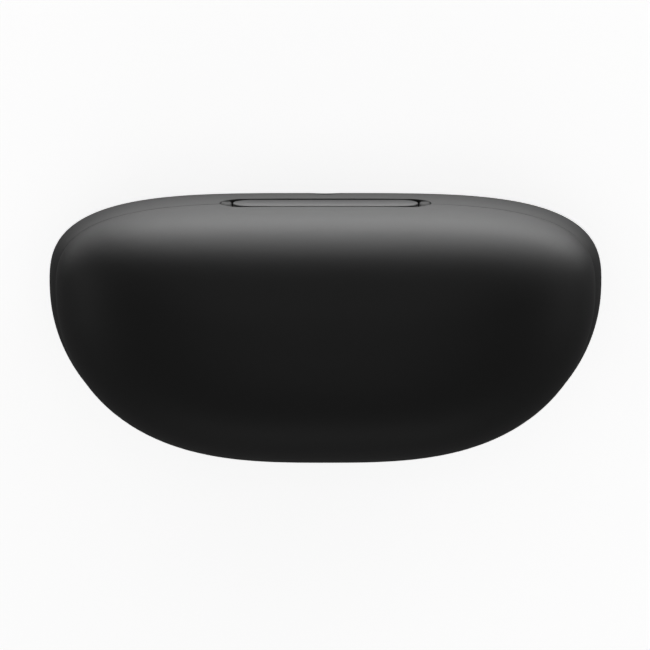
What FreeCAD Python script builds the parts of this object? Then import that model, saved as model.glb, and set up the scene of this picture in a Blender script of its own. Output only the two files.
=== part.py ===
import FreeCAD, Part
import Sketcher
import math
import os
from FreeCAD import Placement, Rotation, Vector

# Wireless earbuds case: a pebble-shaped base and lid on a hidden pin hinge, with a
# cradle for two earbuds, contacts, battery, board and charging coil inside.
# Frame: +Z up, +X to the right, the hinge at the back (+Y), the origin on the surface
# that the case stands on, under the middle of its box.  Millimetres.

doc = FreeCAD.newDocument("EarbudsCase")
dims = doc.addObject("Spreadsheet::Sheet", "dims")
kept = []


def driving(**sizes):
    """Add driving dimensions to the sheet, one aliased cell each."""
    for alias, value in sizes.items():
        row = len(dims.getUsedCells()) // 2 + 1
        dims.set(f"A{row}", alias)
        dims.set(f"B{row}", str(value))
        dims.setAlias(f"B{row}", alias)
    dims.recompute()


def size(alias):
    """The number that a cell of the sheet holds."""
    return float(dims.get(alias))


def keep(piece, node):
    """Mark an object as a finished sub-part, named after its node."""
    piece.Label = node
    kept.append(piece)
    return piece


def bind(piece, **formulas):
    """Bind properties to formulas over the sheet."""
    for name, formula in formulas.items():
        piece.setExpression(name, formula)
    return piece


def place(piece, x="0", y="0", z="0"):
    """Bind an object's position to formulas over the sheet."""
    for letter, formula in (("x", x), ("y", y), ("z", z)):
        piece.setExpression(f"Placement.Base.{letter}", formula)
    return piece


def block(x, y, z):
    """A box between two formulas along each axis."""
    piece = doc.addObject("Part::Box", "block")
    bind(piece, Length=f"({x[1]}) - ({x[0]})", Width=f"({y[1]}) - ({y[0]})", Height=f"({z[1]}) - ({z[0]})")
    return place(piece, x[0], y[0], z[0])


def wide_block(width, y, z):
    """A box centred on the middle plane."""
    return block((f"-({width}) / 2", f"({width}) / 2"), y, z)


def rod(radius, length, x="0", y="0", z="0", along=Vector(0, 0, 1)):
    """A cylinder from a point, along a direction."""
    piece = doc.addObject("Part::Cylinder", "rod")
    bind(piece, Radius=radius, Height=length)
    piece.Placement = Placement(Vector(), Rotation(Vector(0, 0, 1), along))
    return place(piece, x, y, z)


def fuse(*pieces):
    """One solid out of several."""
    piece = doc.addObject("Part::MultiFuse", "fuse")
    piece.Shapes = list(pieces)
    return piece


def cut(base, *tools):
    """A solid less each tool in turn."""
    for tool in tools:
        piece = doc.addObject("Part::Cut", "cut")
        piece.Base = base
        piece.Tool = tool
        base = piece
    return base


def common(base, tool):
    """What two solids share."""
    piece = doc.addObject("Part::Common", "common")
    piece.Base = base
    piece.Tool = tool
    return piece


def mirrored(source):
    """The same piece on the other side of the middle plane."""
    piece = doc.addObject("Part::Mirroring", "mirrored")
    piece.Source = source
    piece.Normal = Vector(1, 0, 0)
    return piece


def group(*pieces):
    """Separate like solids that share one node."""
    piece = doc.addObject("Part::Compound", "group")
    piece.Links = list(pieces)
    return piece


def pair(source):
    """A piece and its mirror image, as one node."""
    return group(source, mirrored(source))


def plain(shape, name):
    """A shape made by formula, as an object of the document."""
    piece = doc.addObject("Part::Feature", name)
    piece.Shape = shape
    return piece


def origin_plane(body, role):
    """One of a body's own origin planes."""
    return next(plane for plane in body.Origin.OriginFeatures if plane.Role == role)


def polygon(sketch, corners):
    """A closed outline whose corners are bound to formulas."""
    count = len(corners)
    for index, corner in enumerate(corners):
        following = corners[(index + 1) % count]
        ends = [Vector(*(evaluate(formula) for formula in point), 0) for point in (corner, following)]
        sketch.addGeometry(Part.LineSegment(*ends), False)
    for index in range(count):
        sketch.addConstraint(Sketcher.Constraint("Coincident", index, 2, (index + 1) % count, 1))
    for index, corner in enumerate(corners):
        for kind, formula in zip(("DistanceX", "DistanceY"), corner):
            number = sketch.addConstraint(Sketcher.Constraint(kind, -1, 1, index, 1, evaluate(formula)))
            sketch.setExpression(f"Constraints[{number}]", formula)


def evaluate(formula):
    """The number that a formula over the sheet gives."""
    return float(dims.evalExpression(formula))


def turned(corners, name="turned"):
    """A turned body: an outline of (radius, height) corners, swept about +Z."""
    body = doc.addObject("PartDesign::Body", name)
    sketch = body.newObject("Sketcher::SketchObject", "section")
    sketch.AttachmentSupport = (origin_plane(body, "XZ_Plane"), [""])
    sketch.MapMode = "FlatFace"
    polygon(sketch, corners)
    revolution = body.newObject("PartDesign::Revolution", "revolution")
    revolution.Profile = sketch
    revolution.ReferenceAxis = (sketch, ["V_Axis"])
    revolution.Angle = 360.0
    return body


# ---------------------------------------------------------------- pebble shells
# Every level of the case is a superelliptic outline, rounder in front than behind.
# The widest level is in the base; the lid domes over it and the base tapers to a foot.

driving(case_width=66.0, case_depth=31.2, broad_line=5.0)
driving(back_power_x=3.88, back_power_y=2.9, front_power_x=2.96, front_power_y=2.0)
driving(wide_level=14.6, seam_level=20.5, lid_rise=13.0, lid_power=3.07, foot_scale=0.45)
driving(rim_inset_side=1.1, rim_inset_back=0.04, rim_inset_front=0.3)
driving(wall=1.6, seam_gap=0.15, deck_gap=0.12)

OUTLINE_STEPS = 64
half_width = size("case_width") / 2
half_depth = size("case_depth") / 2
wall = size("wall")
seam = size("seam_level")


def ring(level, scale=1.0, inset=(0.0, 0.0, 0.0), inwards=0.0):
    """A closed superelliptic wire at a level, with side, back and front insets."""
    side, back, front = (value + inwards for value in inset)
    middle = size("broad_line") * scale
    reach = half_width * scale - side
    behind = half_depth * scale - back - middle
    before = half_depth * scale - front + middle
    points = []
    for step in range(OUTLINE_STEPS):
        turn = 2 * math.pi * step / OUTLINE_STEPS
        across, along = math.cos(turn), math.sin(turn)
        half = "back" if along >= 0 else "front"
        x = reach * abs(across) ** (2 / size(f"{half}_power_x"))
        y = (behind if along >= 0 else before) * abs(along) ** (2 / size(f"{half}_power_y"))
        points.append(Vector(math.copysign(x, across), middle + math.copysign(y, along), level))
    curve = Part.BSplineCurve()
    curve.interpolate(Points=points, PeriodicFlag=True)
    return Part.Wire([curve.toShape()])


def rim_inset(share=1.0):
    """How far the rim lies inside the widest outline: all round, from 0 to 1 of it."""
    return tuple(share * size(f"rim_inset_{part}") for part in ("side", "back", "front"))


def base_blank(inwards, floor):
    """The base's outer or inner pebble, from its flat foot to above the seam."""
    rings = []
    for degrees in (0, 10, 25, 45, 65, 80, 90):
        bend = math.radians(degrees)
        scale = size("foot_scale") + (1 - size("foot_scale")) * math.sin(bend)
        level = floor + (size("wide_level") - floor) * (1 - math.cos(bend))
        rings.append(ring(level, scale, inwards=inwards))
    for share in (0.35, 0.7, 1.0):
        level = size("wide_level") + (seam - size("wide_level")) * share
        rings.append(ring(level, 1.0, rim_inset(share ** 2), inwards))
    return Part.makeLoft(rings, True, False)


def lid_blank(inwards):
    """The lid's outer or inner dome, from just below the seam up."""
    skirt = size("hinge_drop") / 2
    rim = ring(seam - skirt, 1.0, rim_inset(), inwards)
    dome = []
    for degrees in (0, 12, 26, 42, 58, 72, 82, 88):
        bend = math.radians(degrees)
        scale = math.cos(bend) ** (2 / size("lid_power"))
        level = seam + (size("lid_rise") - inwards) * math.sin(bend)
        shrink = tuple(scale * (value + inwards) for value in rim_inset())
        dome.append(ring(level, scale, shrink))
    skirt_solid = Part.Face(rim).extrude(Vector(0, 0, skirt))
    return skirt_solid.fuse(Part.makeLoft(dome, True, False)).removeSplitter()


# ---------------------------------------------------------------- hinge line
# The seam runs level to above the hinge axis, then round it, so that the lid's tail
# rolls over the base's shoulder as it opens.

driving(hinge_inset=1.4, hinge_drop=2.2, hinge_room=1.78, end_room=1.5, pin_radius=0.4, pin_fit=0.04)
driving(recess_width=25.0, recess_low=3.6, recess_high=1.7, room_half=10.0, end_room_half=11.1)
driving(plate_width=21.8)
driving(plate_low=3.2, plate_high=1.3, plate_inner=0.95, plate_outer=1.35)

REACH = 60.0
rim_back = half_depth - size("rim_inset_back")
axis_y = rim_back - size("hinge_inset")
axis_z = seam - size("hinge_drop")
AXIS_Y = "(dims.case_depth / 2 - dims.rim_inset_back - dims.hinge_inset)"
AXIS_Z = "(dims.seam_level - dims.hinge_drop)"


def seam_side(gap, above):
    """All that lies above or below the seam surface, as one long solid."""
    radius = size("hinge_drop") + gap
    top = Vector(-REACH, axis_y, axis_z + radius)
    low = Vector(-REACH, axis_y + radius, axis_z)
    middle = Vector(-REACH, axis_y + radius * math.sin(math.pi / 4), axis_z + radius * math.cos(math.pi / 4))
    start = Vector(-REACH, -REACH, top.z)
    if above:
        rest = [Vector(-REACH, REACH, low.z), Vector(-REACH, REACH, REACH), Vector(-REACH, -REACH, REACH)]
    else:
        rest = [Vector(-REACH, low.y, -REACH), Vector(-REACH, -REACH, -REACH)]
    edges = [Part.LineSegment(start, top).toShape(), Part.Arc(top, middle, low).toShape()]
    for first, second in zip([low] + rest, rest + [start]):
        edges.append(Part.LineSegment(first, second).toShape())
    return Part.Face(Part.Wire(edges)).extrude(Vector(2 * REACH, 0, 0))


def pill(width, low, high, front, back):
    """An upright pill with round ends, between two planes across Y."""
    radius = f"(({high}) - ({low})) / 2"
    ends = []
    for sign in ("-", ""):
        x = f"{sign}(({width}) / 2 - {radius})"
        ends.append(rod(radius, f"({back}) - ({front})", x, front, f"(({high}) + ({low})) / 2", Vector(0, 1, 0)))
    return fuse(wide_block(f"({width}) - 2 * {radius}", (front, back), (low, high)), *ends)


RECESS_LOW = "dims.seam_level - dims.recess_low"
RECESS_HIGH = "dims.seam_level + dims.recess_high"

# ---------------------------------------------------------------- base shell
# One moulding: the pebble's wall, two bosses under the hinge bracket, two ears that
# hold the pin's ends, and openings for the hinge, the port, the button and the light.

driving(ear_width=2.1, ear_depth=1.2, ear_low=14.6, ear_high=19.6, boss_near=5.5, boss_far=10.5)
driving(boss_front=8.0, boss_low=13.2, bracket_floor=15.95, pin_half=14.2, pin_blind=14.3)
driving(port_level=6.35, port_slot_width=9.4, port_slot_height=3.7)
driving(screw_x=8.0, screw_y=9.7, thread_radius=0.48, thread_fit=0.03, thread_long=2.2)
driving(button_level=11.4, button_radius=2.0, button_fit=0.1, light_level=12.5, light_radius=0.6)

base_core = plain(base_blank(wall / 2, wall / 2), "base_core")
base_wall = plain(base_blank(0.0, 0.0).cut(base_blank(wall, wall)), "base_wall")
ear = block(("dims.recess_width / 2", "dims.recess_width / 2 + dims.ear_width"),
            (f"{AXIS_Y} - dims.ear_depth", "dims.case_depth"), ("dims.ear_low", "dims.ear_high"))
boss = block(("dims.boss_near", "dims.boss_far"),
             ("dims.boss_front", "dims.case_depth / 2 - dims.wall / 2"), ("dims.boss_low", "dims.bracket_floor"))
ribs = common(fuse(ear, mirrored(ear), boss, mirrored(boss)), base_core)
# The recess is a pill on the outside.  Inside it is round, about the pin, so that its
# lower lip nearly meets the hinge plate and the plate still swings clear of it.

room = fuse(wide_block("2 * dims.recess_width", (AXIS_Y, "dims.case_depth"), (RECESS_LOW, "dims.case_width")),
            wide_block("2 * dims.recess_width", (f"{AXIS_Y} - dims.hinge_room", "dims.case_depth"),
                       (AXIS_Z, "dims.case_width")))
outer_recess = common(room, pill("dims.recess_width", RECESS_LOW, RECESS_HIGH,
                                 f"{AXIS_Y} - 2 * dims.hinge_room", f"{AXIS_Y} + 2 * dims.hinge_room"))
swing_room = [rod(radius, f"2 * {half}", f"-{half}", AXIS_Y, AXIS_Z, Vector(1, 0, 0))
              for radius, half in (("dims.hinge_room", "dims.room_half"), ("dims.end_room", "dims.end_room_half"))]
pin_bore = rod("dims.pin_radius + dims.pin_fit", "2 * dims.pin_blind", "-dims.pin_blind", AXIS_Y, AXIS_Z, Vector(1, 0, 0))
port_slot = pill("dims.port_slot_width", "dims.port_level - dims.port_slot_height / 2",
                 "dims.port_level + dims.port_slot_height / 2", "dims.case_depth / 4", "dims.case_depth")
button_bore = rod("dims.button_radius + dims.button_fit", "dims.case_depth / 2",
                  "0", "dims.case_depth / 4", "dims.button_level", Vector(0, 1, 0))
light_bore = rod("dims.light_radius", "dims.case_depth / 2", "0", "-dims.case_depth / 4", "dims.light_level",
                 Vector(0, -1, 0))
boss_thread = rod("dims.thread_radius + dims.thread_fit", "dims.bracket_floor", "dims.screw_x", "dims.screw_y",
                  "dims.bracket_floor - dims.thread_long")

below_seam = plain(seam_side(0.0, False), "below_seam")
base_body = fuse(base_wall, ribs)
base_openings = (outer_recess, *swing_room, pin_bore, port_slot, button_bore, light_bore, boss_thread, mirrored(boss_thread))
keep(common(cut(base_body, *base_openings), below_seam), "base_shell")

# ---------------------------------------------------------------- earbud nests
# Each nest is the shape of a bud seen from above: a large round for its housing and a
# small one for its tip, joined by their outer tangents, with a rounded floor.

driving(bud_x=17.5, bud_y=1.0, bud_radius=8.2, tip_x=11.6, tip_y=-5.2, tip_radius=5.6, bud_fit=0.4)
driving(deck_low=18.6, deck_top=19.8, nest_floor=8.3, nest_wall=1.0, nest_round=3.0)
driving(liner_low=21.0, liner_top=22.0, hollow_top=27.4, hollow_wall=0.8, hollow_round=4.0)
driving(hinge_notch_half=15.0, hinge_notch_front=11.6, flange_notch_half=9.8, flange_notch_front=7.6)


def bud_outline(grow, level):
    """The hull of a bud's two rounds, grown all round, as a wire at a level."""
    bud = Vector(size("bud_x"), size("bud_y"), level)
    tip = Vector(size("tip_x"), size("tip_y"), level)
    bud_reach = size("bud_radius") + grow
    tip_reach = size("tip_radius") + grow
    line = tip - bud
    heading = math.atan2(line.y, line.x)
    lean = math.acos((bud_reach - tip_reach) / line.Length)

    def at(centre, radius, angle):
        return centre + Vector(radius * math.cos(angle), radius * math.sin(angle), 0)

    left, right = heading + lean, heading - lean
    bud_arc = Part.Arc(at(bud, bud_reach, left), at(bud, bud_reach, heading + math.pi), at(bud, bud_reach, right))
    tip_arc = Part.Arc(at(tip, tip_reach, right), at(tip, tip_reach, heading), at(tip, tip_reach, left))
    first = Part.LineSegment(at(bud, bud_reach, right), at(tip, tip_reach, right))
    second = Part.LineSegment(at(tip, tip_reach, left), at(bud, bud_reach, left))
    return Part.Wire([curve.toShape() for curve in (bud_arc, first, tip_arc, second)])


def bud_block(grow, low, high, closed_end, rounding):
    """A nest-shaped block with its closed end rounded."""
    solid = Part.Face(bud_outline(grow, low)).extrude(Vector(0, 0, high - low))
    edges = [edge for edge in solid.Edges if all(abs(end.Z - closed_end) < 1e-6 for end in edge.Vertexes)]
    return solid.makeFillet(rounding, edges)


def both_sides(solid):
    """A solid and its mirror image across the middle plane."""
    return solid.fuse(solid.mirror(Vector(), Vector(1, 0, 0)))


def deck_plate(low, high, inwards, scale_levels):
    """A plate that fills the case's inside between two levels."""
    lower, upper = (ring(level, 1.0, rim_inset(), inwards + extra)
                    for level, extra in zip((low, high), scale_levels))
    return Part.makeLoft([lower, upper], True, True)


def centred_box(half, front, back, low, high):
    """A box centred on the middle plane, from numbers."""
    return Part.makeBox(2 * half, back - front, high - low, Vector(-half, front, low))


# The cradle: a deck that drops into the base's mouth, with the two nests hanging from
# it.  It is notched round the hinge, the charging pins come up through its floors, and
# two posts under it carry the board.

driving(pin_hole_radius=0.55, pin_pitch=3.2)
driving(board_low=7.98, board_thick=0.8, post_x=4.7, post_y=3.4, post_radius=1.4)
deck = deck_plate(size("deck_low"), size("deck_top"), wall + size("deck_gap"), (0.0, 0.0))
cups = bud_block(size("nest_wall"), size("nest_floor") - size("nest_wall"), size("deck_top"),
                 size("nest_floor") - size("nest_wall"), size("nest_round") + size("nest_wall"))
nests = bud_block(0.0, size("nest_floor"), size("deck_top") + 1, size("nest_floor"), size("nest_round"))
cradle_shape = deck.fuse(both_sides(cups)).cut(both_sides(nests))
cradle_shape = cradle_shape.cut(centred_box(size("hinge_notch_half"), size("hinge_notch_front"), REACH, 0, REACH))
PIN_PLACES = [(side * (size("bud_x") + step * size("pin_pitch") / 2), size("bud_y"))
              for side in (-1, 1) for step in (-1, 1)]
for x, y in PIN_PLACES:
    hole = Part.makeCylinder(size("pin_hole_radius"), size("nest_floor"), Vector(x, y, size("nest_floor") / 2))
    cradle_shape = cradle_shape.cut(hole)
post_foot = Vector(size("post_x"), size("post_y"), size("board_low") + size("board_thick"))
post = Part.makeCylinder(size("post_radius"), size("deck_top") - size("wall") / 2 - post_foot.z, post_foot)
post_thread = Part.makeCylinder(size("thread_radius") + size("thread_fit"), size("thread_long"), post_foot)
cradle_shape = cradle_shape.fuse(both_sides(post)).cut(both_sides(post_thread))
keep(plain(cradle_shape, "cradle_blank"), "cradle")

# ---------------------------------------------------------------- lid shell and liner
# The lid is one domed moulding with two screw bosses for the hinge plate, a shallow
# pocket that takes the plate's upper half, and a notch for the plate's flange.

driving(pocket_floor=0.9, flange_low=0.7, flange_thick=0.55, flange_half=9.0, flange_front=7.9)
driving(lid_boss_x=6.0, lid_boss_y=9.8, lid_boss_radius=1.4, lid_thread_long=3.0, flange_fit=0.1)

lid_core = plain(lid_blank(wall / 2), "lid_core")
lid_wall = plain(lid_blank(0.0).cut(lid_blank(wall)), "lid_wall")
flange_top = "dims.seam_level + dims.flange_low + dims.flange_thick"
lid_post = rod("dims.lid_boss_radius", f"dims.seam_level + dims.lid_rise - ({flange_top})",
               "dims.lid_boss_x", "dims.lid_boss_y", flange_top)
lid_bosses = common(fuse(lid_post, mirrored(lid_post)), lid_core)
lid_thread = rod("dims.thread_radius + dims.thread_fit", f"{flange_top} + dims.lid_thread_long - dims.seam_level",
                 "dims.lid_boss_x", "dims.lid_boss_y", "dims.seam_level")
pocket = pill("dims.recess_width", RECESS_LOW, RECESS_HIGH, f"{AXIS_Y} + dims.pocket_floor", "dims.case_depth")
flange_notch = wide_block("2 * (dims.flange_half + dims.flange_fit)",
                          (f"{AXIS_Y} - 2 * dims.hinge_inset", "dims.case_depth"),
                          ("0", f"{flange_top} + dims.flange_fit"))
above_seam = plain(seam_side(size("seam_gap"), True), "above_seam")
lid_body = common(fuse(lid_wall, lid_bosses), above_seam)
keep(cut(lid_body, pocket, flange_notch, lid_thread, mirrored(lid_thread)), "lid_shell")

# The liner closes the lid's underside, with a hollow over each earbud.

driving(liner_shrink=0.15)
liner_deck = deck_plate(size("liner_low"), size("liner_top"), wall + size("deck_gap"), (0.0, size("liner_shrink")))
hollow_outer = bud_block(size("bud_fit") + size("hollow_wall"), size("liner_low"),
                         size("hollow_top") + size("hollow_wall"), size("hollow_top") + size("hollow_wall"),
                         size("hollow_round") + size("hollow_wall"))
hollow_inner = bud_block(size("bud_fit"), size("liner_low") - 1, size("hollow_top"), size("hollow_top"),
                         size("hollow_round"))
liner_shape = liner_deck.fuse(both_sides(hollow_outer)).cut(both_sides(hollow_inner))
notch = centred_box(size("flange_notch_half"), size("flange_notch_front"), REACH, 0, REACH)
keep(plain(liner_shape.cut(notch), "liner_blank"), "lid_liner")

# ---------------------------------------------------------------- hinge
# A stamped plate on the lid carries two knuckles; a bracket on the base carries two
# ears; one pin runs through all four and ends in the base shell's ears.

driving(knuckle_radius=0.85, lug_near=7.2, lug_far=10.2, web_low=0.5, plate_edge=0.12)
driving(ear_near=3.6, ear_far=6.6, channel_front=2.4, channel_back=1.9, channel_half=12.0)
driving(channel_top=19.6, bracket_thick=0.5, bracket_reach=6.6, foot_half=10.2, screw_hole=0.55)


def knuckle(near, far, web_y, web_low, web_high):
    """A knuckle round the hinge axis with the web that carries it."""
    barrel = rod("dims.knuckle_radius", f"{far} - {near}", near, AXIS_Y, AXIS_Z, Vector(1, 0, 0))
    web = block((near, far), web_y, (f"{AXIS_Z} - {web_low}", f"{AXIS_Z} + {web_high}"))
    return fuse(barrel, web)


face = doc.addObject("Part::Chamfer", "plate_face")
face.Base = pill("dims.plate_width", "dims.seam_level - dims.plate_low", "dims.seam_level + dims.plate_high",
                 f"{AXIS_Y} + dims.plate_inner", f"{AXIS_Y} + dims.plate_outer")
face.Base.Refine = True
doc.recompute()
front_edges = [number for number, edge in enumerate(face.Base.Shape.Edges, 1)
               if all(abs(end.Y - (axis_y + size("plate_outer"))) < 1e-6 for end in edge.Vertexes)]
face.Edges = [(number, size("plate_edge"), size("plate_edge")) for number in front_edges]
lug = knuckle("dims.lug_near", "dims.lug_far", (AXIS_Y, f"{AXIS_Y} + dims.plate_inner + dims.plate_edge"),
              "dims.web_low", "dims.knuckle_radius")
flange = wide_block("2 * dims.flange_half", ("dims.flange_front", f"{AXIS_Y} + dims.plate_inner + dims.plate_edge"),
                    ("dims.seam_level + dims.flange_low", flange_top))
flange_hole = rod("dims.screw_hole", "dims.wall", "dims.lid_boss_x", "dims.lid_boss_y", "dims.seam_level")
keep(cut(fuse(face, lug, mirrored(lug), flange), pin_bore, flange_hole, mirrored(flange_hole)), "hinge_plate")

hinge_ear = knuckle("dims.ear_near", "dims.ear_far", (f"{AXIS_Y} - dims.channel_back", AXIS_Y),
                    "dims.web_low", "dims.knuckle_radius")
channel = wide_block("2 * dims.channel_half", (f"{AXIS_Y} - dims.channel_front", f"{AXIS_Y} - dims.channel_back"),
                     ("dims.bracket_floor", "dims.channel_top"))
bracket_foot = wide_block("2 * dims.foot_half", (f"{AXIS_Y} - dims.bracket_reach", f"{AXIS_Y} - dims.channel_back"),
                          ("dims.bracket_floor", "dims.bracket_floor + dims.bracket_thick"))
foot_hole = rod("dims.screw_hole", "dims.wall", "dims.screw_x", "dims.screw_y", "dims.bracket_floor - dims.wall / 2")
bracket_solid = fuse(channel, bracket_foot, hinge_ear, mirrored(hinge_ear))
keep(cut(bracket_solid, pin_bore, foot_hole, mirrored(foot_hole)), "hinge_bracket")

driving(pin_chamfer=0.1)
hinge_pin = turned([("0", "-dims.pin_half"), ("dims.pin_radius - dims.pin_chamfer", "-dims.pin_half"),
                    ("dims.pin_radius", "-dims.pin_half + dims.pin_chamfer"),
                    ("dims.pin_radius", "dims.pin_half - dims.pin_chamfer"),
                    ("dims.pin_radius - dims.pin_chamfer", "dims.pin_half"), ("0", "dims.pin_half")])
hinge_pin.Placement = Placement(Vector(), Rotation(Vector(0, 0, 1), Vector(1, 0, 0)))
place(keep(hinge_pin, "hinge_pin"), "0", AXIS_Y, AXIS_Z)

# The torsion spring is wound round the pin, with two legs on the bracket.

driving(coil_radius=0.68, coil_wire=0.13, coil_turns=11.75, coil_half=2.7, leg_long=1.85, leg_short=0.9)


def drawn(edges, heading, wire):
    """A round wire drawn along a path from its first point, as one solid."""
    path = Part.Wire(edges)
    section = Part.Wire([Part.Circle(edges[0].firstVertex().Point, heading, wire).toShape()])
    return path.makePipeShell([section], True, True)


def torsion_spring():
    """The hinge's spring: a leg on the bracket, the coil along the pin, and a free leg."""
    radius, half = size("coil_radius"), size("coil_half")
    coil = Part.makeHelix(2 * half / size("coil_turns"), 2 * half, radius)
    top, end = Vector(radius, 0, 0), Vector(0, -radius, 2 * half)
    first = Part.LineSegment(top - Vector(0, size("leg_long"), 0), top).toShape()
    last = Part.LineSegment(end, end + Vector(size("leg_short"), 0, 0)).toShape()
    spring = drawn([first] + coil.Edges + [last], Vector(0, 1, 0), size("coil_wire"))
    spring.rotate(Vector(), Vector(0, 1, 0), -90)
    spring.translate(Vector(half, axis_y, axis_z))
    return spring


keep(plain(torsion_spring(), "spring_blank"), "hinge_spring")


# Pan-head screws, one section for all, each pair in one node.

driving(head_radius=0.95, head_tall=0.4, drive_radius=0.45, drive_deep=0.22, shank_long=2.4)


def screws(node, x, y, z, upwards):
    """A mirrored pair of screws whose heads sit at a level."""
    body = turned([("0", "-dims.shank_long"), ("dims.thread_radius", "-dims.shank_long"),
                   ("dims.thread_radius", "0"), ("dims.head_radius", "0"),
                   ("dims.head_radius", "dims.head_tall"), ("0", "dims.head_tall")])
    drive = doc.addObject("Part::Prism", "drive")
    drive.Polygon = 6
    bind(drive, Circumradius="dims.drive_radius", Height="dims.head_tall")
    place(drive, "0", "0", "dims.head_tall - dims.drive_deep")
    screw = cut(body, drive)
    if upwards:
        screw.Placement = Placement(Vector(), Rotation(Vector(1, 0, 0), 180))
    place(screw, x, y, z)
    return keep(pair(screw), node)


screws("hinge_plate_screws", "dims.lid_boss_x", "dims.lid_boss_y", "dims.seam_level + dims.flange_low", True)
screws("hinge_bracket_screws", "dims.screw_x", "dims.screw_y", "dims.bracket_floor + dims.bracket_thick", False)

# ---------------------------------------------------------------- charging coil and battery

driving(coil_floor=1.6, coil_long=23.0, coil_wide=9.2, coil_thick=0.5, coil_hole_long=17.0, coil_hole_wide=3.6)
driving(ferrite_thick=0.3, ferrite_margin=0.5, foam_thick=0.5)
driving(battery_long=27.0, battery_front=-7.8, battery_back=5.2)
driving(battery_tall=3.8, battery_round=1.4)


def racetrack(length, width, low, high):
    """A flat round-ended block, centred."""
    inner = f"({length}) - ({width})"
    ends = [rod(f"({width}) / 2", f"({high}) - ({low})", f"{sign}({inner}) / 2", "0", low) for sign in ("-", "")]
    return fuse(wide_block(inner, (f"-({width}) / 2", f"({width}) / 2"), (low, high)), *ends)


COIL_TOP = "dims.coil_floor + dims.coil_thick"
FERRITE_TOP = f"{COIL_TOP} + dims.ferrite_thick"
FOAM_TOP = f"{FERRITE_TOP} + dims.foam_thick"
winding = racetrack("dims.coil_long", "dims.coil_wide", "dims.coil_floor", COIL_TOP)
winding_hole = racetrack("dims.coil_hole_long", "dims.coil_hole_wide", "0", FOAM_TOP)
keep(cut(winding, winding_hole), "charge_coil")
keep(racetrack("dims.coil_long + 2 * dims.ferrite_margin", "dims.coil_wide + 2 * dims.ferrite_margin",
               COIL_TOP, FERRITE_TOP), "ferrite_sheet")
keep(racetrack("dims.coil_long", "dims.coil_wide", FERRITE_TOP, FOAM_TOP), "battery_foam")
cell = wide_block("dims.battery_long", ("dims.battery_front", "dims.battery_back"),
                  (FOAM_TOP, f"{FOAM_TOP} + dims.battery_tall"))
doc.recompute()
battery = doc.addObject("Part::Fillet", "battery_round")
battery.Base = cell
long_edges = [number for number, edge in enumerate(cell.Shape.Edges, 1)
              if abs(edge.Vertexes[0].X - edge.Vertexes[-1].X) > 1]
battery.Edges = [(number, size("battery_round"), size("battery_round")) for number in long_edges]
keep(battery, "battery")

# ---------------------------------------------------------------- main board and port

driving(board_half=6.0, board_front=2.0, board_back=12.4)
driving(port_width=8.94, port_height=3.2, port_front=6.0, port_back=13.3, port_wall=0.3, tongue_width=6.7)
driving(tongue_thick=0.7, tongue_front=6.4, tongue_back=12.5, port_rear=0.6)

BOARD_TOP = "dims.board_low + dims.board_thick"
board = wide_block("2 * dims.board_half", ("dims.board_front", "dims.board_back"), ("dims.board_low", BOARD_TOP))
board_hole = rod("dims.screw_hole", "dims.case_depth", "dims.post_x", "dims.post_y", "0")
keep(cut(board, board_hole, mirrored(board_hole)), "main_board")
screws("board_screws", "dims.post_x", "dims.post_y", "dims.board_low", True)
PORT_LOW = "dims.port_level - dims.port_height / 2"
PORT_HIGH = "dims.port_level + dims.port_height / 2"
can = pill("dims.port_width", PORT_LOW, PORT_HIGH, "dims.port_front", "dims.port_back")
mouth = pill("dims.port_width - 2 * dims.port_wall", f"{PORT_LOW} + dims.port_wall", f"{PORT_HIGH} - dims.port_wall",
             "dims.port_front + dims.port_rear", "dims.case_depth")
keep(cut(can, mouth), "usb_socket_shell")
keep(wide_block("dims.tongue_width", ("dims.port_front + dims.port_rear", "dims.tongue_back"),
                ("dims.port_level - dims.tongue_thick / 2", "dims.port_level + dims.tongue_thick / 2")),
     "usb_tongue")

# Parts soldered on the board's top: two chips, two chokes and a row of capacitors.

driving(chip_side=3.0, chip_tall=0.8, chip_y=7.6, chip_x=2.6, choke_side=2.0, choke_tall=1.1, choke_y=4.8)
driving(capacitor_long=1.0, capacitor_wide=0.5, capacitor_tall=0.5, capacitor_pitch=1.3, capacitor_x=5.0)
driving(capacitor_y=11.0)


def soldered(length, width, height, x, y):
    """A component standing on the board."""
    return block((f"{x} - {length} / 2", f"{x} + {length} / 2"), (f"{y} - {width} / 2", f"{y} + {width} / 2"),
                 (BOARD_TOP, f"{BOARD_TOP} + {height}"))


chip = soldered("dims.chip_side", "dims.chip_side", "dims.chip_tall", "dims.chip_x", "dims.chip_y")
choke = soldered("dims.choke_side", "dims.choke_side", "dims.choke_tall", "dims.chip_x / 2", "dims.choke_y")
capacitors = [soldered("dims.capacitor_wide", "dims.capacitor_long", "dims.capacitor_tall",
                       f"dims.capacitor_x - {step} * dims.capacitor_pitch", "dims.capacitor_y")
              for step in range(2)]
keep(group(*(part for solid in (chip, choke, *capacitors) for part in (solid, mirrored(solid)))), "board_chips")

# ---------------------------------------------------------------- pairing button and switch

driving(button_back=12.5, button_face=14.9, flange_radius=2.6, flange_deep=0.55, button_dish=0.15)
driving(switch_half=2.2, switch_front=10.0, switch_back=11.8, switch_top=12.9, nub_radius=0.8, nub_tip=12.1)

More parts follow.
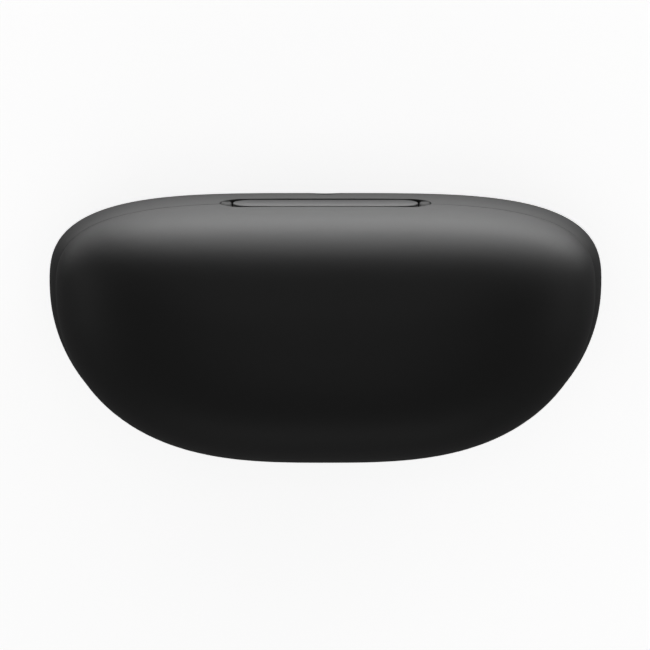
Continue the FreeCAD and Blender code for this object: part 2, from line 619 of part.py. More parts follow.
face_height = "dims.button_face - dims.button_back"
button = turned([("0", "0"), ("dims.flange_radius", "0"), ("dims.flange_radius", "dims.flange_deep"),
                 ("dims.button_radius", "dims.flange_deep"),
                 ("dims.button_radius", f"{face_height} - dims.button_dish"),
                 ("dims.button_radius - dims.button_dish", face_height),
                 ("dims.button_radius / 2", f"{face_height} - dims.button_dish / 2"),
                 ("0", f"{face_height} - dims.button_dish")])
button.Placement = Placement(Vector(), Rotation(Vector(0, 0, 1), Vector(0, 1, 0)))
place(keep(button, "pairing_button"), "0", "dims.button_back", "dims.button_level")
switch = wide_block("2 * dims.switch_half", ("dims.switch_front", "dims.switch_back"), (BOARD_TOP, "dims.switch_top"))
nub = rod("dims.nub_radius", "dims.nub_tip - dims.switch_back", "0", "dims.switch_back", "dims.button_level",
          Vector(0, 1, 0))
keep(fuse(switch, nub), "tact_switch")

# ---------------------------------------------------------------- status light

driving(pipe_face=-15.3, pipe_back=-13.2, pipe_head=0.95, pipe_step=0.45, light_fit=0.03)
driving(led_half=0.9, led_front=-13.1, led_back=-12.4, led_board_back=-12.1, led_board_half=2.4, led_board_tall=6.0)

pipe_long = "dims.pipe_back - dims.pipe_face"
light_pipe = turned([("0", "0"), ("dims.pipe_head", "0"), ("dims.pipe_head", "dims.pipe_step"),
                     ("dims.light_radius - dims.light_fit", "dims.pipe_step"),
                     ("dims.light_radius - dims.light_fit", pipe_long), ("0", pipe_long)])
light_pipe.Placement = Placement(Vector(), Rotation(Vector(0, 0, 1), Vector(0, -1, 0)))
place(keep(light_pipe, "light_pipe"), "0", "dims.pipe_back", "dims.light_level")
keep(wide_block("2 * dims.led_half", ("dims.led_front", "dims.led_back"),
                ("dims.light_level - dims.led_half / 2", "dims.light_level + dims.led_half / 2")), "status_led")
keep(wide_block("2 * dims.led_board_half", ("dims.led_back", "dims.led_board_back"),
                ("dims.light_level - dims.led_board_tall / 2", "dims.light_level + dims.led_board_tall / 2")),
     "led_board")

# ---------------------------------------------------------------- charging contacts
# Two sprung pins rise through each nest's floor from a block under it.

driving(contact_half=3.2, contact_deep=3.0, contact_low=4.1, bore_floor=4.6, bore_radius=0.72)
driving(spring_radius=0.5, spring_wire=0.13, spring_pitch=0.45, spring_rest=0.02)
driving(tip_radius_small=0.45, collar_radius=0.66, collar_tall=0.5, collar_low=6.75, tip_level=9.1)

NEST_BOTTOM = "dims.nest_floor - dims.nest_wall"
for node, sign in (("contact_block_left", "-"), ("contact_block_right", "")):
    middle = f"{sign}dims.bud_x"
    housing = block((f"{middle} - dims.contact_half", f"{middle} + dims.contact_half"),
                    ("dims.bud_y - dims.contact_deep / 2", "dims.bud_y + dims.contact_deep / 2"),
                    ("dims.contact_low", NEST_BOTTOM))
    bores = [rod("dims.bore_radius", "dims.nest_floor", f"{middle} {step} dims.pin_pitch / 2", "dims.bud_y",
                 "dims.bore_floor") for step in ("-", "+")]
    keep(cut(housing, *bores), node)
for number, (x, y) in enumerate(PIN_PLACES, 1):
    tip_height = "dims.tip_level - dims.collar_low"
    contact = turned([("0", "0"), ("dims.collar_radius", "0"), ("dims.collar_radius", "dims.collar_tall"),
                      ("dims.tip_radius_small", "dims.collar_tall"),
                      ("dims.tip_radius_small", f"{tip_height} - dims.tip_radius_small / 2"),
                      ("dims.tip_radius_small / 2", tip_height), ("0", tip_height)])
    place(keep(contact, f"contact_pin_{number}"), str(x), str(y), "dims.collar_low")
    free = size("collar_low") - size("bore_floor") - 2 * size("spring_wire") - 2 * size("spring_rest")
    helix = Part.makeHelix(size("spring_pitch"), free, size("spring_radius"))
    heading = Vector(0, 2 * math.pi * size("spring_radius"), size("spring_pitch"))
    coil = drawn(helix.Edges, heading, size("spring_wire"))
    coil.translate(Vector(x, y, size("bore_floor") + size("spring_wire") + size("spring_rest")))
    keep(plain(coil, "coil"), f"contact_spring_{number}")

# ---------------------------------------------------------------- flex strip and magnets

driving(flex_low=6.92, flex_thick=0.15, flex_half=14.3, flex_width=3.0, riser_y=5.0, riser_half=2.5)
driving(magnet_tall=2.0, magnet_near=1.0, magnet_far=6.0, magnet_front=-12.7, magnet_back=-10.7)
driving(bud_magnet_low=10.0, bud_magnet_tall=5.0, bud_magnet_thick=1.0, bud_magnet_half=2.5)
driving(bumper_x=26.0, bumper_y=-3.6, bumper_radius=0.9, bumper_tall=0.85, sensor_y=-4.0, sensor_radius=1.25)

strip = wide_block("2 * dims.flex_half", ("dims.bud_y - dims.flex_width / 2", "dims.bud_y + dims.flex_width / 2"),
                   ("dims.flex_low", "dims.flex_low + dims.flex_thick"))
tab = wide_block("2 * dims.riser_half", ("dims.bud_y", "dims.riser_y + dims.flex_thick"),
                 ("dims.flex_low", "dims.flex_low + dims.flex_thick"))
riser = wide_block("2 * dims.riser_half", ("dims.riser_y", "dims.riser_y + dims.flex_thick"),
                   ("dims.flex_low", "dims.board_low"))
keep(fuse(strip, tab, riser), "flex_strip")


def closing_magnet(low):
    """One of the pair of blocks that hold the lid shut."""
    return block(("dims.magnet_near", "dims.magnet_far"), ("dims.magnet_front", "dims.magnet_back"),
                 (low, f"{low} + dims.magnet_tall"))


keep(pair(closing_magnet("dims.deck_low - dims.magnet_tall")), "base_magnets")
keep(pair(closing_magnet("dims.liner_top")), "lid_magnets")
side_face = "dims.bud_x + dims.bud_radius + dims.nest_wall"
holder = block((side_face, f"{side_face} + dims.bud_magnet_thick"),
               ("dims.bud_y - dims.bud_magnet_half", "dims.bud_y + dims.bud_magnet_half"),
               ("dims.bud_magnet_low", "dims.bud_magnet_low + dims.bud_magnet_tall"))
keep(pair(holder), "earbud_magnets")
keep(rod("dims.sensor_radius", "dims.magnet_tall / 2", "0", "dims.sensor_y", "dims.liner_top"), "sensor_magnet")
keep(wide_block("2 * dims.sensor_radius", ("dims.sensor_y - dims.sensor_radius", "dims.sensor_y + dims.sensor_radius"),
                ("dims.deck_low - dims.magnet_tall / 2", "dims.deck_low")), "hall_sensor")
bumper = rod("dims.bumper_radius", "dims.bumper_tall", "dims.bumper_x", "dims.bumper_y",
             "dims.liner_low - dims.bumper_tall")
keep(pair(bumper), "lid_bumpers")

# ---------------------------------------------------------------- check and write

doc.recompute()
for item in doc.Objects:
    broken = [state for state in item.State if state in ("Invalid", "Error")]
    if broken:
        raise RuntimeError(f"{item.Name} ({item.Label}) failed: {broken}")
os.makedirs("parts", exist_ok=True)
for piece in kept:
    shape = piece.Shape
    if shape.isNull() or not shape.isValid() or not shape.Solids:
        raise RuntimeError(f"{piece.Label} has no valid solid")
    shape.exportStep(f"parts/{piece.Label}.step")
    box = shape.BoundBox
    print(f"{piece.Label:22s} solids {len(shape.Solids)}  volume {shape.Volume:9.2f}  "
          f"x {box.XMin:6.2f} {box.XMax:6.2f}  y {box.YMin:6.2f} {box.YMax:6.2f}  z {box.ZMin:6.2f} {box.ZMax:6.2f}")
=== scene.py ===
import math

import bmesh
import bpy
from mathutils import Matrix, Vector


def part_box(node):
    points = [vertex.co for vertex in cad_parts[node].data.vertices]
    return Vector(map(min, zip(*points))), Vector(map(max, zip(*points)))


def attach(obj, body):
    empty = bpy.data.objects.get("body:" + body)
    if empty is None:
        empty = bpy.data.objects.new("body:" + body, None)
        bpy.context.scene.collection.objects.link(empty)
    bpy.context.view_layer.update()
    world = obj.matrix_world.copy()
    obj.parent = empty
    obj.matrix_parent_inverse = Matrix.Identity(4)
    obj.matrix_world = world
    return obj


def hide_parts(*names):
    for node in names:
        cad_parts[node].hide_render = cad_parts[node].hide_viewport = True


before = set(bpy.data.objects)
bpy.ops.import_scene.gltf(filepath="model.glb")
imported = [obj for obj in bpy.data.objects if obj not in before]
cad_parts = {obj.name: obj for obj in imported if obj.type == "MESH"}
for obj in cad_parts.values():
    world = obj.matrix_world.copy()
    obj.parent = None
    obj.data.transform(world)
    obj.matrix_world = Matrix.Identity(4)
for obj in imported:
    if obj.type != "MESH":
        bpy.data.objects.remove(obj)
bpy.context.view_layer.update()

# ---------------------------------------------------------------- camera
# It looks down on the lid from a little under half a metre, leaning slightly over the
# back, so that the hinge and a strip of the base show past the lid's rear edge.

LEAN = math.radians(10.9)
DISTANCE = 0.465
SEEN_WIDTH = 0.0776
AIM_RIGHT, AIM_UP, AIM_LEVEL = -0.00006, 0.00033, 0.017
aim = Vector((AIM_RIGHT, AIM_UP * math.cos(LEAN), AIM_LEVEL - AIM_UP * math.sin(LEAN)))
camera = bpy.data.objects.new("camera", bpy.data.cameras.new("camera"))
camera.data.sensor_width = 36
camera.data.lens = camera.data.sensor_width * DISTANCE / SEEN_WIDTH
camera.data.clip_start = 0.01
camera.location = aim + DISTANCE * Vector((0, math.sin(LEAN), math.cos(LEAN)))
camera.rotation_euler = (-LEAN, 0, 0)
bpy.context.scene.collection.objects.link(camera)
bpy.context.scene.camera = camera
bpy.context.scene.view_settings.view_transform = "Standard"

# ---------------------------------------------------------------- studio
# Softboxes stand round a pale table: degrees round from the back, degrees up, distance,
# width, height and watts.  Three more lie flat behind the case and draw the bright band
# along its rear shoulder: width, depth, how far right and behind, and watts.

STANDING = {
    "rear_softbox": (4, 4, 0.6, 0.7, 0.06, 1.15),
    "rear_upper_softbox": (0, 45, 0.6, 0.6, 0.2, 0.04),
    "rear_right_softbox": (45, 12, 0.6, 0.3, 0.12, 0.18),
    "right_softbox": (90, 15, 0.6, 0.4, 0.16, 0.13),
    "left_softbox": (-90, 15, 0.6, 0.4, 0.16, 0.18),
    "front_softbox": (180, 20, 0.6, 0.7, 0.16, 0.21),
    "overhead_softbox": (0, 88, 0.8, 0.5, 0.5, 0.42),
}
LYING = {
    "edge_panel": (0.2, 0.06, 0.004, 0.05, 0.045),
    "near_panel": (0.15, 0.035, 0.034, 0.0625, 0.145),
    "far_panel": (0.62, 0.32, 0.13, 0.44, 2.2),
}
PANEL_LEVEL = 0.002
SOFTBOXES_FACE = Vector((0, 0, 0.01))
ROOM_LIGHT = 0.1
TABLE_HALF, TABLE_PALE, TABLE_GLOW = 2, 0.8, 0.8


def softbox(name, width, height, watts, spot, facing):
    """A soft rectangular lamp at a spot, facing a direction."""
    lamp = bpy.data.objects.new(name, bpy.data.lights.new(name, "AREA"))
    lamp.data.shape = "RECTANGLE"
    lamp.data.size, lamp.data.size_y, lamp.data.energy = width, height, watts
    lamp.location = spot
    lamp.rotation_euler = facing.to_track_quat("-Z", "Y").to_euler()
    lamp.visible_camera = False
    bpy.context.scene.collection.objects.link(lamp)


for name, (round_by, up_by, away, width, height, watts) in STANDING.items():
    turn, rise = math.radians(round_by), math.radians(up_by)
    level = away * math.cos(rise)
    spot = Vector((level * math.sin(turn), level * math.cos(turn), away * math.sin(rise)))
    softbox(name, width, height, watts, spot, SOFTBOXES_FACE - spot)
for name, (width, depth, right, behind, watts) in LYING.items():
    softbox(name, width, depth, watts, Vector((right, behind, PANEL_LEVEL)), Vector((0, 0, 1)))
room = bpy.data.worlds.new("room")
room.use_nodes = True
room.node_tree.nodes["Background"].inputs["Color"].default_value = (1, 1, 1, 1)
room.node_tree.nodes["Background"].inputs["Strength"].default_value = ROOM_LIGHT
bpy.context.scene.world = room

sheet = bmesh.new()
bmesh.ops.create_grid(sheet, x_segments=1, y_segments=1, size=TABLE_HALF)
table = bpy.data.objects.new("table", bpy.data.meshes.new("table"))
sheet.to_mesh(table.data)
sheet.free()
bpy.context.scene.collection.objects.link(table)
paper = bpy.data.materials.new("white_paper")
paper.use_nodes = True
sheet_shader = paper.node_tree.nodes["Principled BSDF"]
sheet_shader.inputs["Base Color"].default_value = (TABLE_PALE, TABLE_PALE, TABLE_PALE, 1)
sheet_shader.inputs["Roughness"].default_value = 0.9
sheet_shader.inputs["Specular IOR Level"].default_value = 0
sheet_shader.inputs["Emission Color"].default_value = (1, 1, 1, 1)
sheet_shader.inputs["Emission Strength"].default_value = TABLE_GLOW
table.data.materials.append(paper)
table.visible_glossy = False

# ---------------------------------------------------------------- shells
# Base, lid and button are mouldings in black polycarbonate, their surface spark-eroded
# to a fine satin.  Their rims and openings have a small rounded edge.

MM = 0.001


class Level:
    """A number that changes over a surface, with the usual arithmetic."""

    def __init__(self, finish, socket):
        self.finish = finish
        self.socket = socket

    def worked(self, operation, first, second):
        node = self.finish.node("ShaderNodeMath", {"operation": operation}, {0: first, 1: second})
        return Level(self.finish, node.outputs[0])

    def __add__(self, other):
        return self.worked("ADD", self, other)

    __radd__ = __add__

    def __mul__(self, other):
        return self.worked("MULTIPLY", self, other)

    __rmul__ = __mul__

    def __sub__(self, other):
        return self.worked("SUBTRACT", self, other)

    def __rsub__(self, other):
        return self.worked("SUBTRACT", other, self)


class Finish:
    """A surface finish: one shader, with the nodes that feed it."""

    def __init__(self, name, **constants):
        self.material = bpy.data.materials.new(name)
        self.material.use_nodes = True
        self.tree = self.material.node_tree
        self.shader = self.tree.nodes["Principled BSDF"]
        self.coordinates = self.node("ShaderNodeTexCoord").outputs["Object"]
        self.feed(**constants)

    def node(self, kind, settings=None, sockets=None):
        """Add a node: its settings first, then the values or links of its sockets."""
        node = self.tree.nodes.new(kind)
        for name, value in (settings or {}).items():
            setattr(node, name, value)
        self.fill(node, sockets or {})
        return node

    def fill(self, node, sockets):
        """Link a node's sockets, or set their values."""
        for name, value in sockets.items():
            if isinstance(value, Level):
                value = value.socket
            if isinstance(value, bpy.types.NodeSocket):
                self.tree.links.new(value, node.inputs[name])
            else:
                node.inputs[name].default_value = value

    def feed(self, **sockets):
        """Set the shader's sockets, named in lower case with underscores."""
        names = {key.lower().replace(" ", "_"): key for key in self.shader.inputs.keys()}
        self.fill(self.shader, {names[key]: value for key, value in sockets.items()})

    def stretched(self, scale):
        """The surface's coordinates, scaled along each axis."""
        mapping = self.node("ShaderNodeMapping", {}, {"Vector": self.coordinates, "Scale": scale})
        return mapping.outputs[0]

    def grain(self, per_metre, detail, at=None):
        """Cloudy grain, from 0 to 1."""
        sockets = {"Vector": at or self.coordinates, "Scale": per_metre, "Detail": detail}
        return Level(self, self.node("ShaderNodeTexNoise", {}, sockets).outputs["Fac"])

    def pits(self, per_metre):
        """Rounded cells, from 0 at each cell's middle."""
        sockets = {"Vector": self.coordinates, "Scale": per_metre}
        return Level(self, self.node("ShaderNodeTexVoronoi", {}, sockets).outputs["Distance"])

    def tint(self, share, first, second):
        """A colour between two, or between a link and a colour."""
        node = self.node("ShaderNodeMix", {"data_type": "RGBA"}, {0: share, 6: first, 7: second})
        return node.outputs[2]

    def relief(self, height, deep, rounding):
        """Raise the surface by a height pattern, and round its edges, both in millimetres."""
        edge = self.node("ShaderNodeBevel", {"samples": 6}, {"Radius": rounding * MM})
        sockets = {"Height": height, "Strength": 1.0, "Distance": deep * MM, "Normal": edge.outputs[0]}
        self.feed(normal=self.node("ShaderNodeBump", {}, sockets).outputs[0])


def moulded(name, dark, pale, roughness, per_metre, deep, rounding):
    """A black finish with an eroded texture, and faint clouds as long as a fingertip."""
    finish = Finish(name, ior=1.5)
    cloud = finish.grain(per_metre=90, detail=3)
    fine = finish.grain(per_metre, detail=3)
    finish.feed(base_color=finish.tint(cloud, dark, pale),
                roughness=roughness + 0.05 * fine + 0.03 * (cloud - 0.5))
    finish.relief(fine, deep, rounding)
    return finish


def dress(finish, *nodes):
    """Give carried-over nodes a finish."""
    for node in nodes:
        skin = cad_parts[node].data.materials
        skin.clear()
        skin.append(finish.material)


satin_black = moulded("satin_black", dark=(0.0056, 0.0056, 0.0057, 1), pale=(0.0068, 0.0068, 0.007, 1),
                      roughness=0.52, per_metre=5200, deep=0.0035, rounding=0.16)
dress(satin_black, "base_shell", "lid_shell", "pairing_button")

# ---------------------------------------------------------------- charging coil
# A flat winding of enamelled copper on the floor of the base, for a charging pad.
# Six turns lie side by side round a long hole, under a sheet of ferrite.


def link(name, mesh, finish, body):
    """Turn a bmesh into a finished piece that rides on a body."""
    data = bpy.data.meshes.new(name)
    bmesh.ops.recalc_face_normals(mesh, faces=mesh.faces)
    mesh.to_mesh(data)
    mesh.free()
    data.shade_smooth()
    data.set_sharp_from_angle(angle=math.radians(35))
    piece = bpy.data.objects.new(name, data)
    bpy.context.scene.collection.objects.link(piece)
    data.materials.append(finish.material)
    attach(piece, body)
    return piece


enamel = Finish("copper_enamel", metallic=1.0, coat_weight=0.6)
streaks = enamel.grain(per_metre=900, detail=4)
enamel.feed(base_color=enamel.tint(streaks, (0.42, 0.13, 0.045, 1), (0.78, 0.33, 0.14, 1)),
            roughness=0.25 + 0.25 * streaks)
enamel.relief(streaks, deep=0.004, rounding=0.02)

TURNS, STRAND, WIRE_SHARE, WELD = 6, 0.44 * MM, 0.97, 0.002 * MM
low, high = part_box("charge_coil")
middle = (low.z + high.z) / 2
outer = (high.y - low.y) / 2
straight = (high.x - low.x) / 2 - outer
winding = bmesh.new()
for turn in range(TURNS):
    reach = outer - (turn + 0.5) * STRAND
    wire = bmesh.ops.create_circle(winding, segments=10, radius=STRAND / 2 * WIRE_SHARE)["verts"]
    bmesh.ops.rotate(winding, verts=wire, cent=(0, 0, 0), matrix=Matrix.Rotation(math.pi / 2, 3, "Y"))
    bmesh.ops.translate(winding, verts=wire, vec=(-straight, reach, middle))
    loop = list({edge for vert in wire for edge in vert.link_edges})
    for side in (1, -1):
        run = bmesh.ops.extrude_edge_only(winding, edges=loop)["geom"]
        ends = [item for item in run if isinstance(item, bmesh.types.BMVert)]
        bmesh.ops.translate(winding, verts=ends, vec=(2 * side * straight, 0, 0))
        edges = [item for item in run if isinstance(item, bmesh.types.BMEdge)]
        loop = [edge for edge in edges if all(vert in ends for vert in edge.verts)]
        bend = bmesh.ops.spin(winding, geom=loop + ends, cent=(side * straight, 0, middle), axis=(0, 0, -1),
                              angle=math.pi, steps=16)["geom_last"]
        loop = [item for item in bend if isinstance(item, bmesh.types.BMEdge)]
bmesh.ops.remove_doubles(winding, verts=winding.verts, dist=WELD)
coil = link("coil_turns", winding, enamel, "base")
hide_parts("charge_coil")

ferrite = Finish("ferrite_film", ior=1.5)
speck = ferrite.grain(per_metre=2600, detail=5)
ferrite.feed(base_color=ferrite.tint(speck, (0.02, 0.02, 0.023, 1), (0.07, 0.07, 0.078, 1)),
             roughness=0.5 + 0.3 * speck)
ferrite.relief(speck, deep=0.01, rounding=0.05)
dress(ferrite, "ferrite_sheet")

# ---------------------------------------------------------------- battery
# A pouch cell in laminated foil, bedded on closed-cell foam, with a band of amber
# tape round each end.

foam = Finish("closed_cell_foam", ior=1.4, roughness=0.9)
cells = foam.pits(per_metre=3300)
foam.feed(base_color=foam.tint(cells, (0.05, 0.05, 0.05, 1), (0.014, 0.014, 0.014, 1)))
foam.relief(cells, deep=0.05, rounding=0.05)
dress(foam, "battery_foam")

foil = Finish("laminated_foil", metallic=1.0)
crease = foil.grain(per_metre=420, detail=6)
rolled = foil.grain(per_metre=300, detail=3, at=foil.stretched((1, 40, 40)))
foil.feed(base_color=foil.tint(rolled, (0.42, 0.43, 0.45, 1), (0.62, 0.63, 0.65, 1)),
          roughness=0.22 + 0.25 * crease)
foil.relief(crease, deep=0.06, rounding=0.1)
dress(foil, "battery")

amber = Finish("amber_polyimide", ior=1.6, coat_weight=0.4)
film = amber.grain(per_metre=700, detail=3)
amber.feed(base_color=amber.tint(film, (0.36, 0.13, 0.015, 1), (0.52, 0.22, 0.03, 1)),
           roughness=0.2 + 0.15 * film)
amber.relief(film, deep=0.006, rounding=0.05)

TAPE_WIDE, TAPE_INSET, TAPE_THICK, CELL_ROUND = 3.0 * MM, 3.6 * MM, 0.06 * MM, 1.4 * MM
low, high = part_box("battery")
tape = bmesh.new()
for side in (-1, 1):
    band = bmesh.ops.create_cube(tape, size=1)["verts"]
    bmesh.ops.scale(tape, verts=band,
                    vec=(TAPE_WIDE, high.y - low.y + 2 * TAPE_THICK, high.z - low.z + 2 * TAPE_THICK))
    bmesh.ops.translate(tape, verts=band,
                        vec=(side * (high.x - TAPE_INSET), (low.y + high.y) / 2, (low.z + high.z) / 2))
long_edges = [edge for edge in tape.edges if abs(edge.verts[0].co.x - edge.verts[1].co.x) > MM]
bmesh.ops.bevel(tape, geom=long_edges, offset=CELL_ROUND, segments=8, profile=0.5, affect="EDGES",
                material=-1)
caps = [face for face in tape.faces if abs(face.normal.x) > 0.9]
bmesh.ops.delete(tape, geom=caps, context="FACES_ONLY")
bands = link("battery_tape", tape, amber, "base")

# ---------------------------------------------------------------- main board
# A green four-layer board hangs under the cradle on two screws.  Its solder mask lets
# the tracks show through, and its pads and leads are tinned.

board = Finish("solder_mask", ior=1.5, coat_weight=0.3)
tracks = board.node("ShaderNodeTexBrick", {"offset": 0.5, "squash": 0.6}, {
    "Vector": board.coordinates, "Scale": 420.0, "Mortar Size": 0.035, "Mortar Smooth": 0.2,
    "Color1": (0, 0, 0, 1), "Color2": (0, 0, 0, 1), "Mortar": (1, 1, 1, 1)})
track = Level(board, tracks.outputs["Fac"])
fibre = board.grain(per_metre=1500, detail=3)
mask = board.tint(fibre, (0.008, 0.05, 0.022, 1), (0.012, 0.068, 0.03, 1))
board.feed(base_color=board.tint(track, mask, (0.04, 0.16, 0.06, 1)), roughness=0.28 + 0.12 * fibre)
board.relief(track, deep=0.02, rounding=0.06)
dress(board, "main_board", "led_board")

epoxy = Finish("black_epoxy", ior=1.5)
dust = epoxy.grain(per_metre=2400, detail=4)
epoxy.feed(base_color=epoxy.tint(dust, (0.012, 0.012, 0.012, 1), (0.03, 0.03, 0.03, 1)),
           roughness=0.45 + 0.2 * dust)
epoxy.relief(dust, deep=0.004, rounding=0.08)
dress(epoxy, "board_chips", "hall_sensor")

tin = Finish("solder", metallic=1.0)
flow = tin.grain(per_metre=3000, detail=3)
tin.feed(base_color=tin.tint(flow, (0.5, 0.5, 0.51, 1), (0.72, 0.72, 0.73, 1)), roughness=0.2 + 0.2 * flow)
tin.relief(flow, deep=0.003, rounding=0.04)

# Leads run out from two sides of each chip, and the pads of the socket stand in a row.
CHIP_X, CHIP_Y, CHIP_HALF, LEADS, LEAD_PITCH = 2.6 * MM, 7.6 * MM, 1.5 * MM, 6, 0.45 * MM
LEAD_LONG, LEAD_WIDE, LEAD_TALL, LEAD_ROUND = 0.35 * MM, 0.2 * MM, 0.12 * MM, 0.03 * MM
PADS, PAD_Y, PAD_TALL = 12, 9.8 * MM, 0.06 * MM
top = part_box("main_board")[1].z


def soldered(mesh, x, y, long, wide, tall):
    """A small block standing on the board."""
    joint = bmesh.ops.create_cube(mesh, size=1)["verts"]
    bmesh.ops.scale(mesh, verts=joint, vec=(long, wide, tall))
    bmesh.ops.translate(mesh, verts=joint, vec=(x, y, top + tall / 2))


joints = bmesh.new()
for side in (-1, 1):
    for end in (-1, 1):
        lead_x = side * CHIP_X + end * (CHIP_HALF + LEAD_LONG / 2)
        for index in range(LEADS):
            lead_y = CHIP_Y + (index - (LEADS - 1) / 2) * LEAD_PITCH
            soldered(joints, lead_x, lead_y, LEAD_LONG, LEAD_WIDE, LEAD_TALL)
for index in range(PADS):
    soldered(joints, (index - (PADS - 1) / 2) * LEAD_PITCH, PAD_Y, LEAD_WIDE, LEAD_LONG, PAD_TALL)
bmesh.ops.bevel(joints, geom=joints.edges[:], offset=LEAD_ROUND, segments=2, profile=0.5, affect="EDGES",
                material=-1)
leads = link("board_joints", joints, tin, "base")

# ---------------------------------------------------------------- charging socket
# A stamped and folded steel can at the back of the board, round a nylon tongue that
# carries twelve gold contacts on each face.

steel = Finish("brushed_steel", metallic=1.0)
lines = steel.grain(per_metre=2200, detail=4, at=steel.stretched((0.04, 1, 1)))
steel.feed(base_color=steel.tint(lines, (0.36, 0.36, 0.37, 1), (0.56, 0.56, 0.57, 1)),
           roughness=0.24 + 0.2 * lines)
steel.relief(lines, deep=0.003, rounding=0.06)
dress(steel, "usb_socket_shell", "tact_switch", "board_screws")

nylon = moulded("glass_filled_nylon", dark=(0.011, 0.011, 0.012, 1), pale=(0.02, 0.02, 0.021, 1),
                roughness=0.45, per_metre=3200, deep=0.006, rounding=0.08)
dress(nylon, "usb_tongue")

gold = Finish("gold_plate", metallic=1.0)
wear = gold.grain(per_metre=1800, detail=4)
gold.feed(base_color=gold.tint(wear, (0.72, 0.44, 0.13, 1), (0.9, 0.62, 0.24, 1)),
          roughness=0.14 + 0.18 * wear)
gold.relief(wear, deep=0.002, rounding=0.05)

CONTACTS, CONTACT_PITCH, CONTACT_EDGE = 12, 0.5 * MM, 0.012 * MM
CONTACT_WIDE, CONTACT_THICK, CONTACT_SHARE, CONTACT_MIDDLE = 0.26 * MM, 0.05 * MM, 0.75, 0.58
low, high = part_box("usb_tongue")
deep = high.y - low.y
strips = bmesh.new()
for index in range(CONTACTS):
    across = (index - (CONTACTS - 1) / 2) * CONTACT_PITCH
    for face in (low.z, high.z):
        strip = bmesh.ops.create_cube(strips, size=1)["verts"]
        bmesh.ops.scale(strips, verts=strip, vec=(CONTACT_WIDE, CONTACT_SHARE * deep, CONTACT_THICK))
        bmesh.ops.translate(strips, verts=strip, vec=(across, low.y + CONTACT_MIDDLE * deep, face))
bmesh.ops.bevel(strips, geom=strips.edges[:], offset=CONTACT_EDGE, segments=1, profile=0.5, affect="EDGES",
                material=-1)
contacts = link("socket_contacts", strips, gold, "base")

# ---------------------------------------------------------------- status light
# A clear moulded pipe carries the light of a small LED through the front wall.  The
# LED is a drop of epoxy resin on a board of its own.

clear = Finish("clear_acrylic", ior=1.49, roughness=0.12, transmission_weight=0.6)
haze = clear.grain(per_metre=1400, detail=2)
clear.feed(base_color=clear.tint(haze, (0.55, 0.57, 0.58, 1), (0.7, 0.72, 0.73, 1)))
clear.relief(haze, deep=0.003, rounding=0.08)
dress(clear, "light_pipe")

resin = Finish("led_resin", ior=1.5, roughness=0.2)
glow = resin.grain(per_metre=1600, detail=2)
resin.feed(base_color=resin.tint(glow, (0.7, 0.66, 0.42, 1), (0.85, 0.82, 0.6, 1)))
resin.relief(glow, deep=0.004, rounding=0.08)
dress(resin, "status_led")

# ---------------------------------------------------------------- charging contacts
# Two gold-plated plungers stand in each nest's floor, each on its own small spring in
# a nylon block.  An amber flex strip joins the two blocks to the main board.

dress(gold, "contact_pin_1", "contact_pin_2", "contact_pin_3", "contact_pin_4")
dress(nylon, "contact_block_left", "contact_block_right")
dress(amber, "flex_strip")
wire_steel = Finish("spring_wire", metallic=1.0)
drawn = wire_steel.grain(per_metre=2600, detail=3)
wire_steel.feed(base_color=wire_steel.tint(drawn, (0.3, 0.29, 0.27, 1), (0.48, 0.47, 0.44, 1)),
                roughness=0.22 + 0.15 * drawn)
wire_steel.relief(drawn, deep=0.002, rounding=0.02)
dress(wire_steel, "contact_spring_1", "contact_spring_2", "contact_spring_3", "contact_spring_4")

# ---------------------------------------------------------------- magnets
# Sintered blocks, plated with nickel.  Those in the rims hold the lid shut, those beside
# the nests hold the earbuds, and a small one in the lid works the sensor.

nickel = Finish("nickel_plate", metallic=1.0)
plating = nickel.grain(per_metre=1500, detail=4)
nickel.feed(base_color=nickel.tint(plating, (0.46, 0.45, 0.43, 1), (0.6, 0.59, 0.56, 1)),
            roughness=0.18 + 0.2 * plating)
nickel.relief(plating, deep=0.004, rounding=0.12)
dress(nickel, "base_magnets", "lid_magnets", "earbud_magnets", "sensor_magnet")

# ---------------------------------------------------------------- cradle and liner
# Two matt black mouldings close the halves: the deck with its two nests below, and the
# liner with a hollow over each earbud above.  Silicone bumpers soften the lid's closing.

matt_black = moulded("matt_black", dark=(0.012, 0.012, 0.013, 1), pale=(0.017, 0.017, 0.018, 1),
                     roughness=0.48, per_metre=3000, deep=0.008, rounding=0.25)
dress(matt_black, "cradle", "lid_liner")
silicone = moulded("black_silicone", dark=(0.016, 0.016, 0.016, 1), pale=(0.024, 0.024, 0.024, 1),
                   roughness=0.6, per_metre=2200, deep=0.006, rounding=0.12)
dress(silicone, "lid_bumpers")

# ---------------------------------------------------------------- hinge
# A coated zinc plate on the lid and a steel bracket on the base share one long pin,
# with a torsion spring round its middle.

dress(steel, "hinge_bracket", "hinge_pin", "hinge_plate_screws", "hinge_bracket_screws")
dress(wire_steel, "hinge_spring")
coated = moulded("coated_zinc", dark=(0.010, 0.010, 0.0105, 1), pale=(0.014, 0.014, 0.0145, 1),
                 roughness=0.34, per_metre=4200, deep=0.004, rounding=0.1)
dress(coated, "hinge_plate")

# ---------------------------------------------------------------- hinge cover
# A thin pressed cover snaps over the hinge plate.  It is a pill, a hair larger than the
# plate, with a rounded edge all round.

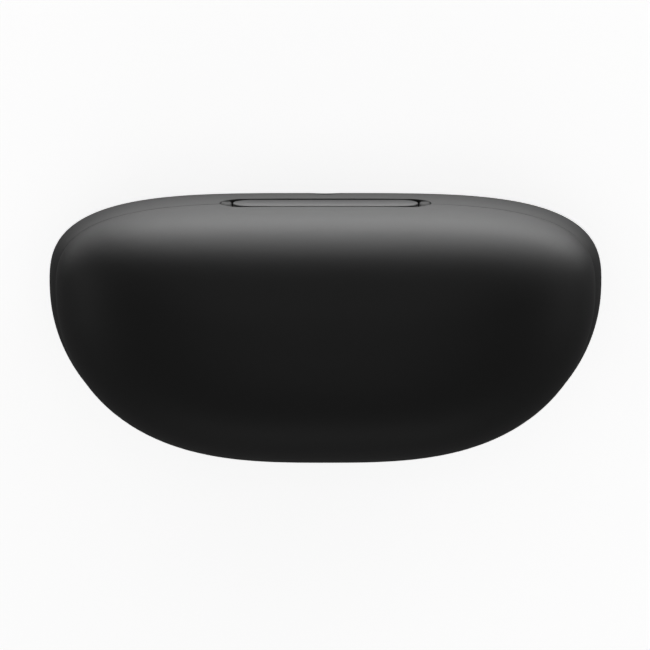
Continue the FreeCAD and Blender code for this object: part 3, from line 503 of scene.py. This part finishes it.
COVER_SIDES, COVER_BELOW, COVER_ABOVE, COVER_PROUD = 0.02 * MM, 0.03 * MM, 0.04 * MM, 0.01 * MM
COVER_THICK, COVER_ROUND, TOUCH = 0.3 * MM, 0.11 * MM, 0.0001 * MM
low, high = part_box("hinge_plate")
cover_low, cover_high = low.z - COVER_BELOW, high.z + COVER_ABOVE
face_y = high.y + COVER_PROUD
end_radius = (cover_high - cover_low) / 2
cover = bmesh.new()
rim = bmesh.ops.create_circle(cover, segments=96, radius=end_radius, cap_ends=True)["verts"]
for vert in rim:
    if abs(vert.co.x) > TOUCH:
        vert.co.x += math.copysign(high.x + COVER_SIDES - end_radius, vert.co.x)
bmesh.ops.rotate(cover, verts=rim, cent=(0, 0, 0), matrix=Matrix.Rotation(math.pi / 2, 3, "X"))
bmesh.ops.translate(cover, verts=rim, vec=(0, face_y, (cover_low + cover_high) / 2))
skin = bmesh.ops.extrude_face_region(cover, geom=cover.faces[:])["geom"]
inner = [item for item in skin if isinstance(item, bmesh.types.BMVert)]
bmesh.ops.translate(cover, verts=inner, vec=(0, -COVER_THICK, 0))
outer_edges = [edge for edge in cover.edges if all(abs(vert.co.y - face_y) < TOUCH for vert in edge.verts)]
bmesh.ops.bevel(cover, geom=outer_edges, offset=COVER_ROUND, segments=4, profile=0.5, affect="EDGES",
                material=-1)
hinge_cover = link("hinge_cover", cover, coated, "lid")

# ---------------------------------------------------------------- pin sleeves
# A dark sintered sleeve sits round each end of the pin and fills the recess beside the
# plate.  Both ends of a sleeve are rounded.

SLEEVE_NEAR, SLEEVE_FAR, SLEEVE_RADIUS, SLEEVE_ROUND = 11.1 * MM, 12.6 * MM, 1.28 * MM, 0.3 * MM
low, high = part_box("hinge_pin")
axis_y, axis_z = (low.y + high.y) / 2, (low.z + high.z) / 2
sleeves = bmesh.new()
for side in (-1, 1):
    barrel = bmesh.ops.create_cone(sleeves, segments=40, cap_ends=True, radius1=SLEEVE_RADIUS,
                                   radius2=SLEEVE_RADIUS, depth=SLEEVE_FAR - SLEEVE_NEAR)["verts"]
    bmesh.ops.rotate(sleeves, verts=barrel, cent=(0, 0, 0), matrix=Matrix.Rotation(math.pi / 2, 3, "Y"))
    bmesh.ops.translate(sleeves, verts=barrel, vec=(side * (SLEEVE_NEAR + SLEEVE_FAR) / 2, axis_y, axis_z))
ends = [edge for edge in sleeves.edges if abs(edge.verts[0].co.x - edge.verts[1].co.x) < TOUCH]
bmesh.ops.bevel(sleeves, geom=ends, offset=SLEEVE_ROUND, segments=3, profile=0.5, affect="EDGES",
                material=-1)
sintered = moulded("sintered_bushing", dark=(0.006, 0.006, 0.006, 1), pale=(0.011, 0.011, 0.011, 1),
                   roughness=0.62, per_metre=3000, deep=0.01, rounding=0.1)
hinge_sleeves = link("hinge_sleeves", sleeves, sintered, "base")
